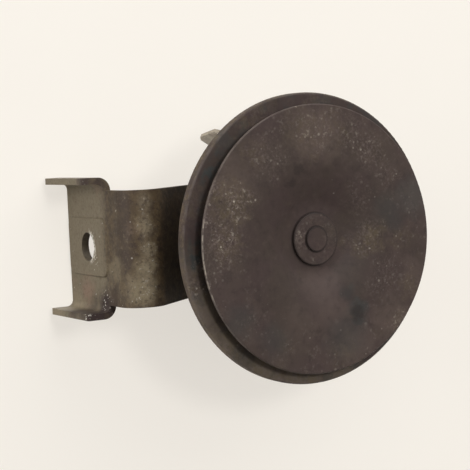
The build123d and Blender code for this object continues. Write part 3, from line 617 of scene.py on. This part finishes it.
def worn_metal(name, clean, dull, metallic, rough=(0.3, 0.6), size=2.5):
    """Plated or bare metal with dull blotches, fine scratches and paler edges."""
    metal = Finish(name, roughness=0.4, metallic=metallic)
    blotches = metal.clouds(size, 0.4, 0.65, 5, 0.6)
    scratches = metal.noise(0.5, 3, 0.6, stretch=(1, 0.15, 0.3))
    colour = metal.mix(blotches, clean, dull)
    colour = metal.mix(metal.times(metal.edge(0.25), 0.5), colour, clean)
    both = metal.math("ADD", metal.times(blotches, 0.5), metal.times(scratches, 0.5))
    roughness = metal.grade(both, *rough)
    return metal.finish(colour, roughness=roughness, height=scratches, depth=0.03, strength=0.35)


TIN_FACE = srgb(240, 229, 212), srgb(214, 200, 181)
TIN_CUT = srgb(170, 158, 140), srgb(130, 118, 102)
# Darker, dusty tin for faces that look up: dusting and painted shade.
TIN_DUST_AND_SHADE = srgb(158, 148, 132), srgb(120, 110, 96)


def tinned_strip(name, node):
    """Pale tin on a strip's two faces, dull metal where it was cut, and darker, dusty tin on what faces up,
    partly painted shade.
    """
    tin = Finish(name, roughness=0.5, specular=0.5)
    widest = max(nodes[node].data.polygons, key=lambda face: face.area)
    plain = tin.add("ShaderNodeNewGeometry")
    facing = tin.math("ABSOLUTE", tin.vector("DOT_PRODUCT", plain.outputs["Normal"], tuple(widest.normal)))
    stained = tin.clouds(2.2, 0.4, 0.7, 5, 0.6)
    faces, edges, dust_and_shade = (tin.mix(stained, *pair) for pair in (TIN_FACE, TIN_CUT, TIN_DUST_AND_SHADE))
    # Painted shade with dusting: faces that look up, towards the key lamp, are darker.
    upward = tin.step(tin.vector("DOT_PRODUCT", plain.outputs["Normal"], (0, 0, 1)), 0.2, 0.7)
    colour = tin.mix(tin.step(facing, 0.6, 0.9), edges, faces)
    colour = tin.mix(upward, colour, dust_and_shade)
    fine = tin.noise(0.5, 3, 0.6)
    roughness = tin.grade(fine, 0.35, 0.6)
    return tin.finish(colour, roughness=roughness, height=fine, depth=0.03, strength=0.3)


def board(name, light, dark, size=1.2):
    """Pressed fibre, paper or cement, with a fine fleck."""
    sheet = Finish(name, roughness=0.75, specular=0.3)
    fleck = sheet.clouds(size, 0.35, 0.65, 5, 0.7)
    fibre = sheet.noise(0.35, 3, 0.6, stretch=(0.25, 1, 1))
    colour = sheet.mix(fleck, light, dark)
    roughness = sheet.grade(fibre, 0.6, 0.9)
    return sheet.finish(colour, roughness=roughness, height=fibre, depth=0.04, strength=0.4)


WIRE = 0.5              # millimetres from one turn to the next


def enamelled_wire():
    """Turns of enamelled copper wire round the horn's axis."""
    wire = Finish("enamelled_wire", roughness=0.3, metallic=0.8)
    turns = wire.math("PINGPONG", wire.axis(1), WIRE / 2)
    ridge = wire.math("MULTIPLY", turns, 2 / WIRE)
    colour = wire.mix(wire.clouds(3, 0.4, 0.6, 3, 0.5), srgb(178, 96, 52), srgb(140, 70, 40))
    roughness = wire.grade(ridge, 0.5, 0.25)
    return wire.finish(colour, roughness=roughness, height=ridge, depth=0.12, strength=1.0)


def make_finishes():
    """The finish of each CAD node."""
    zinc = worn_metal("dull_zinc", srgb(168, 165, 158), srgb(118, 112, 102), 0.7)
    spring = worn_metal("spring_steel", srgb(142, 142, 144), srgb(104, 102, 100), 0.85)
    iron = worn_metal("oxidised_iron", srgb(96, 88, 84), srgb(70, 60, 54), 0.6)
    brass = worn_metal("dull_brass", srgb(178, 148, 88), srgb(128, 102, 62), 0.8)
    tungsten = worn_metal("tungsten", srgb(150, 150, 152), srgb(112, 112, 114), 0.9)
    fibre = board("fibre_board", srgb(122, 72, 48), srgb(92, 52, 36))
    return {
        "bracket": bracket_steel(),
        "clamp_ring": ring_paint(),
        "tone_disc": disc_paint(),
        "tone_disc_washer": washer_paint(),
        "rear_housing": housing_paint(),
        "armature": painted_in_front("armature_finish"),
        "diaphragm": painted_in_front("diaphragm_finish"),
        "magnet_core": iron,
        "disc_spacer": iron,
        "coil_retainer": spring,
        "contact_spring": spring,
        "diaphragm_washer": zinc,
        "fixed_contact_arm": zinc,
        "breaker_rivets": zinc,
        "adjusting_screw": zinc,
        "adjusting_nut": zinc,
        "lock_washer": zinc,
        "mounting_nut": zinc,
        "terminal_blade": tinned_strip("tinned_steel", "terminal_blade"),
        "terminal_rivet": brass,
        "coil_lead_tag": brass,
        "fixed_contact": tungsten,
        "moving_contact": tungsten,
        "coil_bobbin": fibre,
        "breaker_base_insulator": fibre,
        "breaker_spacer_insulator": fibre,
        "terminal_insulator": fibre,
        "terminal_inner_insulator": fibre,
        "front_gasket": board("gasket_paper", srgb(168, 152, 122), srgb(138, 122, 96)),
        "rear_gasket": board("gasket_paper_rear", srgb(168, 152, 122), srgb(138, 122, 96)),
        "coil_winding": enamelled_wire(),
        "suppression_resistor": board("cement", srgb(222, 220, 212), srgb(196, 192, 182), 0.8),
    }


def paint_nodes(finishes):
    for name, material in finishes.items():
        nodes[name].data.materials.clear()
        nodes[name].data.materials.append(material)


# ---------------------------------------------------------------- threads
THREAD_SIDES = 48
ROWS_PER_PITCH = 10
THREAD_DEPTH = 0.6134   # of the pitch
CREST_FLAT = 0.125      # of the pitch
ROOT_FLAT = 0.25        # of the pitch
M8_PITCH = 1.25 * MM
M4_PITCH = 0.7 * MM
STUD_R = 4.0 * MM
END_CHAMFER = 1 / 6     # of the radius
SCREW_SLOT = 0.9 * MM
FIT_GAP = 0.01 * MM     # keeps the crests just inside the plain solid


def thread_radius(crest, pitch, along, angle):
    """How far a 60 degree thread reaches from its axis, at a place along it and an angle round it."""
    turn = (along / pitch - angle / math.tau) % 1.0
    from_crest = abs(2 * turn - 1)
    slope = (from_crest - CREST_FLAT) / (1 - CREST_FLAT - ROOT_FLAT)
    return crest - THREAD_DEPTH * pitch * min(max(slope, 0.0), 1.0)


def turned_piece(name, centre, rows):
    """A closed solid round an axis along Y. Each row is a place along the axis and its radii by side."""
    mesh = bpy.data.meshes.new(name)
    corners = []
    for along, radii in rows:
        for side, reach in enumerate(radii):
            angle = math.tau * side / THREAD_SIDES
            corners.append((centre.x + reach * math.cos(angle), along, centre.z + reach * math.sin(angle)))
    faces = []
    for row in range(len(rows) - 1):
        for side in range(THREAD_SIDES):
            near, far = row * THREAD_SIDES, (row + 1) * THREAD_SIDES
            onward = (side + 1) % THREAD_SIDES
            faces.append((near + side, near + onward, far + onward, far + side))
    last = len(rows) * THREAD_SIDES
    faces.append(tuple(reversed(range(THREAD_SIDES))))
    faces.append(tuple(range(last - THREAD_SIDES, last)))
    mesh.from_pydata(corners, [], faces)
    mesh.polygons.foreach_set("use_smooth", [True] * len(faces))
    mesh.set_sharp_from_angle(angle=math.radians(35))
    piece = bpy.data.objects.new(name, mesh)
    bpy.context.scene.collection.objects.link(piece)
    return piece


def plain_row(along, reach):
    return along, [reach] * THREAD_SIDES


def threaded_rows(start, end, crest, pitch, chamfer):
    """Rows of a thread from start to end, turned down to a cone at the end."""
    rows = []
    count = round((end - start) / pitch * ROWS_PER_PITCH)
    for row in range(count + 1):
        along = start + (end - start) * row / count
        cone = crest - chamfer + end - along
        angles = [math.tau * side / THREAD_SIDES for side in range(THREAD_SIDES)]
        rows.append((along, [min(thread_radius(crest, pitch, along, angle), cone) for angle in angles]))
    return rows


def add_stud():
    """The magnet's pole, and its M8 end that goes out through the bracket."""
    front, end = span("magnet_core", 1)
    pole_r = radius_of("magnet_core")
    floor = span("coil_bobbin", 1)[1]
    rows = [plain_row(front, pole_r), plain_row(floor, pole_r)]
    rows += threaded_rows(floor, end, STUD_R - FIT_GAP, M8_PITCH, STUD_R * END_CHAMFER)
    return turned_piece("threaded_stud", middle("magnet_core"), rows)


def add_adjusting_screw():
    """The M4 screw, with its slot cut at 45 degrees."""
    front, end = span("adjusting_screw", 1)
    centre = middle("adjusting_screw")
    screw_r = radius_of("adjusting_screw")
    rows = threaded_rows(front, end, screw_r - FIT_GAP, M4_PITCH, screw_r * END_CHAMFER)
    screw = turned_piece("threaded_adjusting_screw", centre, rows)
    cutter = bpy.data.objects.new("slot_cutter", bpy.data.meshes.new("slot_cutter"))
    bpy.context.scene.collection.objects.link(cutter)
    box = bmesh.new()
    bmesh.ops.create_cube(box, size=1.0)
    bmesh.ops.scale(box, verts=box.verts, vec=(4 * screw_r, 2 * SCREW_SLOT, SCREW_SLOT))
    bmesh.ops.rotate(box, verts=box.verts, matrix=Matrix.Rotation(math.radians(45), 3, "Y"))
    bmesh.ops.translate(box, verts=box.verts, vec=(centre.x, end, centre.z))
    box.to_mesh(cutter.data)
    box.free()
    cut = screw.modifiers.new("slot", "BOOLEAN")
    cut.object = cutter
    cut.operation = "DIFFERENCE"
    cut.solver = "EXACT"
    bpy.context.view_layer.update()
    slotted = bpy.data.meshes.new_from_object(screw.evaluated_get(bpy.context.evaluated_depsgraph_get()))
    screw.modifiers.clear()
    screw.data = slotted
    bpy.data.objects.remove(cutter)
    return screw


def add_threads(finishes):
    threaded = (
        (add_stud(), "magnet_core", "soft_iron"),
        (add_adjusting_screw(), "adjusting_screw", "zinc"),
    )
    for piece, node, slot in threaded:
        piece.data.materials.clear()
        piece.data.materials.append(finishes[node])
        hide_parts(node)
        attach(piece, "root")


# ---------------------------------------------------------------- stage and light
STAGE_REACH = 1.5
WALL_GAP = 0.0005
FLOOR_Z = -0.2
WALL_COLOUR = srgb(250, 245, 235)
STAGE_SHOWN = srgb(255, 249, 240)
STAGE_OWN_SHARE = 0.66
FLOOR_COLOUR = srgb(196, 192, 186)
WORLD_SHOWN = srgb(247, 242, 235)
WORLD_LIGHT = srgb(236, 234, 231)
WORLD_BELOW = 0.06
WORLD_ABOVE = 0.5


def stage_sheet(name, centre, normal, material):
    mesh = bpy.data.meshes.new(name)
    corners = [Vector((x, y, 0)) * STAGE_REACH for x, y in ((-1, -1), (1, -1), (1, 1), (-1, 1))]
    turn = normal.to_track_quat("Z", "Y")
    mesh.from_pydata([centre + turn @ corner for corner in corners], [], [(0, 1, 2, 3)])
    sheet = bpy.data.objects.new(name, mesh)
    bpy.context.scene.collection.objects.link(sheet)
    mesh.materials.append(material)
    return sheet


def pale_finish(name, colour):
    """Pale paint that partly glows for the camera. From behind, the sheet is clear."""
    paint = Finish(name, roughness=0.8, specular=0.1)
    tint = tuple(share * 0.985 for share in colour[:3]) + (1.0,)
    paint.finish(paint.mix(paint.clouds(60, 0.4, 0.6, 3, 0.5), colour, tint))
    glow = paint.add("ShaderNodeEmission")
    glow.inputs["Color"].default_value = STAGE_SHOWN
    rays = paint.add("ShaderNodeLightPath")
    whole = paint.add("ShaderNodeMixShader")
    paint.feed(whole.inputs[0], paint.times(rays.outputs["Is Camera Ray"], STAGE_OWN_SHARE))
    paint.feed(whole.inputs[1], paint.surface.outputs["BSDF"])
    paint.feed(whole.inputs[2], glow.outputs["Emission"])
    one_sided = paint.add("ShaderNodeMixShader")
    paint.feed(one_sided.inputs[0], paint.add("ShaderNodeNewGeometry").outputs["Backfacing"])
    paint.feed(one_sided.inputs[1], whole.outputs["Shader"])
    paint.feed(one_sided.inputs[2], paint.add("ShaderNodeBsdfTransparent").outputs["BSDF"])
    paint.feed(paint.tree.nodes["Material Output"].inputs["Surface"], one_sided.outputs["Shader"])
    return paint.material


def add_stage():
    """The horn leans back on a pale wall, with the plate's rear edge and its stud. The floor is below."""
    plate_edge = Vector((0, span("bracket", 1)[1] + WALL_GAP, 0))
    stud_end = Vector((AXIS.x, span("magnet_core", 1)[1] + WALL_GAP, 0))
    along = (stud_end - plate_edge).normalized()
    facing = along.cross(Vector((0, 0, 1)))
    wall = stage_sheet("wall", plate_edge, facing, pale_finish("wall_paint", WALL_COLOUR))
    wall.visible_shadow = False
    upward = Vector((0, 0, 1))
    floor = stage_sheet("floor", upward * FLOOR_Z, upward, pale_finish("floor_paint", FLOOR_COLOUR))
    floor.visible_diffuse = False


def add_world():
    """Soft light, stronger from above. The camera and reflections see it plain and pale."""
    world = bpy.data.worlds.new("surroundings")
    bpy.context.scene.world = world
    world.use_nodes = True
    tree = world.node_tree

    def add(kind, *links):
        node = tree.nodes.new(kind)
        for socket, output in links:
            tree.links.new(output, node.inputs[socket])
        return node

    way = add("ShaderNodeTexCoord").outputs["Generated"]
    height = add("ShaderNodeSeparateXYZ", (0, way)).outputs["Z"]
    strength = add("ShaderNodeMapRange", ("Value", height))
    strength.inputs["From Min"].default_value = -1.0
    strength.inputs["To Min"].default_value = WORLD_BELOW
    strength.inputs["To Max"].default_value = WORLD_ABOVE
    lit = tree.nodes["Background"]
    lit.inputs["Color"].default_value = WORLD_LIGHT
    tree.links.new(strength.outputs["Result"], lit.inputs["Strength"])
    shown = add("ShaderNodeBackground")
    shown.inputs["Color"].default_value = WORLD_SHOWN
    rays = add("ShaderNodeLightPath").outputs
    seen = rays["Is Camera Ray"]
    for kind in ("Is Glossy Ray", "Is Transmission Ray"):
        either = add("ShaderNodeMath", (0, seen), (1, rays[kind]))
        either.operation = "MAXIMUM"
        seen = either.outputs[0]
    whole = add("ShaderNodeMixShader", (0, seen), (1, lit.outputs[0]), (2, shown.outputs[0]))
    tree.links.new(whole.outputs[0], tree.nodes["World Output"].inputs["Surface"])


# Place and size in metres and power in watts of each soft lamp, aimed at the horn's middle
LAMPS = {
    "key": ((0.25, -0.5, 0.75), 1.2, 6.35),
    "front": ((-0.05, -0.9, 0.22), 0.17, 2.4),
    "left": ((-0.75, 0.0, 0.2), 0.5, 3.2),
    "rear": ((0.4, 0.8, 0.45), 0.7, 2.5),
}


def add_lamps():
    aim = Vector((AXIS.x / 2, RING_FRONT / 2, 0))
    for name, (place, size, power) in LAMPS.items():
        lamp = bpy.data.objects.new(name, bpy.data.lights.new(name, "AREA"))
        bpy.context.scene.collection.objects.link(lamp)
        lamp.data.shape = "DISK"
        lamp.data.size = size
        lamp.data.energy = power
        lamp.location = place
        lamp.rotation_mode = "QUATERNION"
        lamp.rotation_quaternion = (aim - lamp.location).to_track_quat("-Z", "Y")


# ---------------------------------------------------------------- the scene
bpy.context.scene.view_settings.view_transform = "Standard"
add_camera()
finishes = make_finishes()
paint_nodes(finishes)
add_threads(finishes)
add_stage()
add_world()
add_lamps()

bpy.context.view_layer.update()
